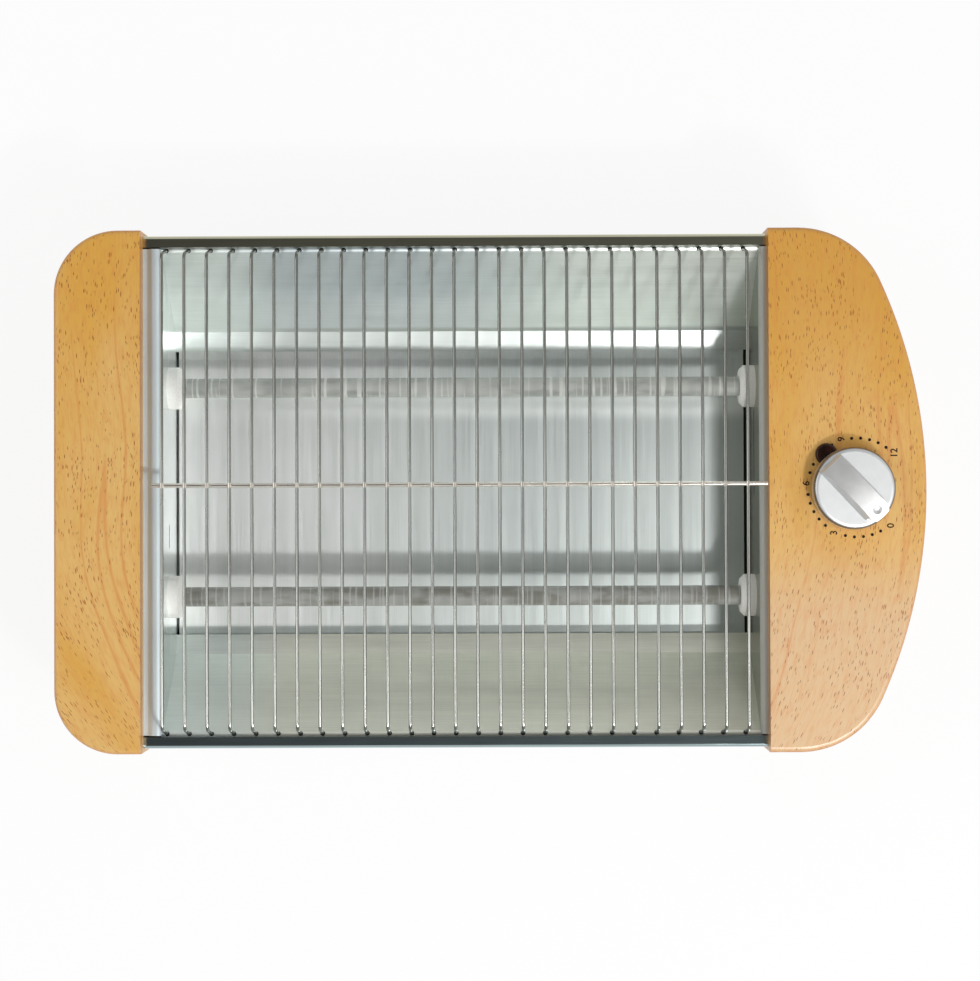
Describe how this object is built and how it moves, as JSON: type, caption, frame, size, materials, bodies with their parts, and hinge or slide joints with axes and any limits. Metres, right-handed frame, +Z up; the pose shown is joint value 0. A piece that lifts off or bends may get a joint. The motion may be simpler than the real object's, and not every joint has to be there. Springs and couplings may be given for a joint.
{
  "type": "flat quartz toaster",
  "caption": "Flat electric toaster: a steel trough with quartz tube heaters under a fixed wire rack, between beech end blocks, with a timer knob, a pilot lamp and a pull-out crumb tray.",
  "frame": {"origin": "on the table, under the middle of the toaster", "axes": "+X from the left block to the right block with the knob, +Y to the back, +Z up"},
  "size_m": [0.3754, 0.2256, 0.0862],
  "materials": {
    "beech": "satin varnish",
    "polished_steel": "polished",
    "reflector_steel": "semi-bright",
    "end_plate_steel": "semi-bright",
    "tray_steel": "brushed",
    "pan_steel": "plain",
    "rack_wire": "nickel plated",
    "quartz": "milky",
    "resistance_wire": "drawn",
    "ceramic": "unglazed",
    "plated_steel": "zinc plated",
    "black_plastic": "matte",
    "white_plastic": "matte",
    "brass": "plain",
    "lead_insulation": "glass braid",
    "knob_metal": "satin",
    "lamp_red": "clear red",
    "neon_glass": "clear",
    "rubber": "matte"
  },
  "bodies": {
    "toaster_body": {"back_heating_coil": "resistance_wire", "back_left_tube_holder": "ceramic", "back_quartz_tube": "quartz", "back_reflector": "reflector_steel", "back_right_tube_holder": "ceramic", "back_skirt": "polished_steel", "bell_screw": "plated_steel", "block_screws": "plated_steel", "bottom_pan": "pan_steel", "clamp_screws": "plated_steel", "cord_clamp": "white_plastic", "cord_gland": "black_plastic", "cover_screws": "plated_steel", "foot_screws": "plated_steel", "front_heating_coil": "resistance_wire", "front_left_tube_holder": "ceramic", "front_quartz_tube": "quartz", "front_reflector": "reflector_steel", "front_right_tube_holder": "ceramic", "front_skirt": "polished_steel", "holder_rings": "plated_steel", "left_back_foot": "rubber", "left_bottom_cover": "plated_steel", "left_end_block": "beech", "left_end_plate": "end_plate_steel", "left_front_foot": "rubber", "link_strap": "plated_steel", "neon_bulb": "neon_glass", "pan_screws": "plated_steel", "pilot_lens": "lamp_red", "right_back_foot": "rubber", "right_bottom_cover": "plated_steel", "right_end_block": "beech", "right_end_plate": "end_plate_steel", "right_front_foot": "rubber", "skirt_screws": "plated_steel", "spacer_sleeves": "plated_steel", "terminal_block": "white_plastic", "terminal_pins": "plated_steel", "terminal_screws": "brass", "timer_bell": "plated_steel", "timer_case": "black_plastic", "timer_lid": "plated_steel", "timer_screws": "plated_steel", "timer_standoffs": "plated_steel", "timer_terminals": "brass", "toast_rack": "rack_wire", "wiring_leads": "lead_insulation"},
    "control_knob": {"timer_knob": "knob_metal", "timer_shaft": "plated_steel"},
    "crumb_drawer": {"crumb_tray": "tray_steel"}
  },
  "joints": [
    {"name": "timer_turn", "type": "hinge", "parent": "toaster_body", "child": "control_knob", "pos_m": [0.155, 0.0003, 0.0772], "axis": [0, 0, -1], "range_deg": [0, 269]},
    {"name": "tray_slide", "type": "slide", "parent": "toaster_body", "child": "crumb_drawer", "axis": [0, -1, 0], "range_m": [0, 0.18]}
  ]
}
